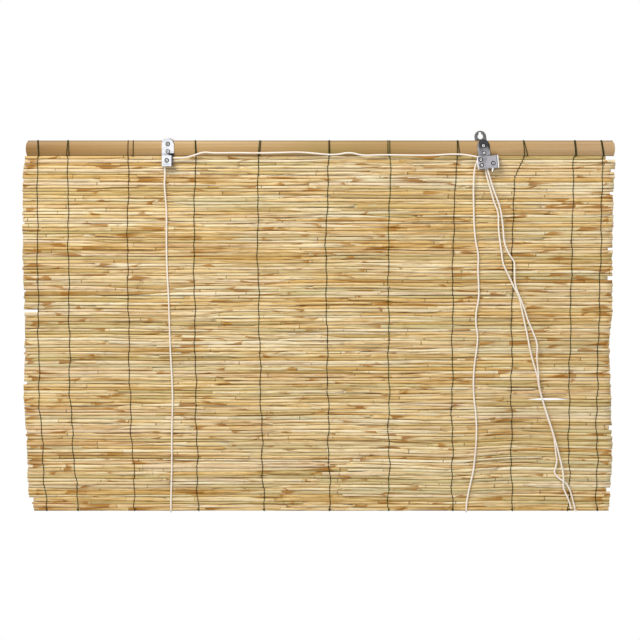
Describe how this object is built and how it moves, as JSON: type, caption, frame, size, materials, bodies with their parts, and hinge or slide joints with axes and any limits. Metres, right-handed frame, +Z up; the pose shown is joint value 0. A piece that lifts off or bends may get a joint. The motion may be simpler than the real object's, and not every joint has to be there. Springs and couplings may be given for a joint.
{
  "type": "bamboo roll-up blind",
  "caption": "Roll-up window blind of woven split reeds under a bamboo head rail, with two keyhole hangers, a cord pulley, a cord lock and lift cords",
  "frame": {"origin": "midway between the round holes of the two keyholes, on the wall face of the hanger plates", "axes": "+X to the right along the head rail, +Y into the wall, +Z up"},
  "size_m": [1.0097, 0.0236, 0.6492],
  "materials": {
    "bamboo": "smooth split bamboo, clear-varnished",
    "reed": "natural dried reed, satin, streaked",
    "warp_thread": "dark green twisted cotton thread",
    "sheet_steel": "zinc-plated sheet steel",
    "rivet": "zinc-plated hollow rivet",
    "wheel": "turned steel",
    "cotton_cord": "twisted off-white cotton"
  },
  "bodies": {
    "blind": {"headrail": "bamboo", "reed_mat": "reed", "warp_01": "warp_thread", "warp_02": "warp_thread", "warp_03": "warp_thread", "warp_04": "warp_thread", "warp_05": "warp_thread", "warp_06": "warp_thread", "warp_07": "warp_thread", "warp_08": "warp_thread", "warp_09": "warp_thread", "warp_10": "warp_thread", "warp_11": "warp_thread", "left_hanger_plate": "sheet_steel", "left_pulley_housing": "sheet_steel", "left_rivets": "rivet", "left_pulley_axle": "rivet", "right_hanger_plate": "sheet_steel", "lock_housing": "sheet_steel", "right_rivets": "rivet", "lock_pulley_axle": "rivet", "lock_roller_axle": "rivet", "lock_cam_pivot": "rivet", "left_lift_cord": "cotton_cord", "right_lift_cord": "cotton_cord", "left_anchor_knot": "cotton_cord", "right_anchor_knot": "cotton_cord", "left_pull_knot": "cotton_cord", "right_pull_knot": "cotton_cord"},
    "left_pulley_wheel": {"left_pulley": "wheel"},
    "lock_pulley_wheel": {"lock_pulley": "wheel"},
    "lock_roller_wheel": {"lock_roller": "wheel"},
    "cam": {"lock_cam": "sheet_steel"}
  },
  "joints": [
    {"name": "left_pulley_spin", "type": "hinge", "parent": "blind", "child": "left_pulley_wheel", "pos_m": [-0.26775, -0.0163, -0.04114], "axis": [0, 1, 0], "continuous": true},
    {"name": "lock_pulley_spin", "type": "hinge", "parent": "blind", "child": "lock_pulley_wheel", "pos_m": [0.2652, -0.0175, -0.04012], "axis": [0, 1, 0], "continuous": true},
    {"name": "lock_roller_spin", "type": "hinge", "parent": "blind", "child": "lock_roller_wheel", "pos_m": [0.26689, -0.0175, -0.04947], "axis": [0, 1, 0], "continuous": true},
    {"name": "lock_cam_swing", "type": "hinge", "parent": "blind", "child": "cam", "pos_m": [0.28645, -0.0175, -0.04607], "axis": [0, -1, 0], "range_deg": [0, 22]}
  ],
  "couplings": [
    {"joint": "left_pulley_spin", "follows": "lock_pulley_spin", "ratio": 1}
  ]
}
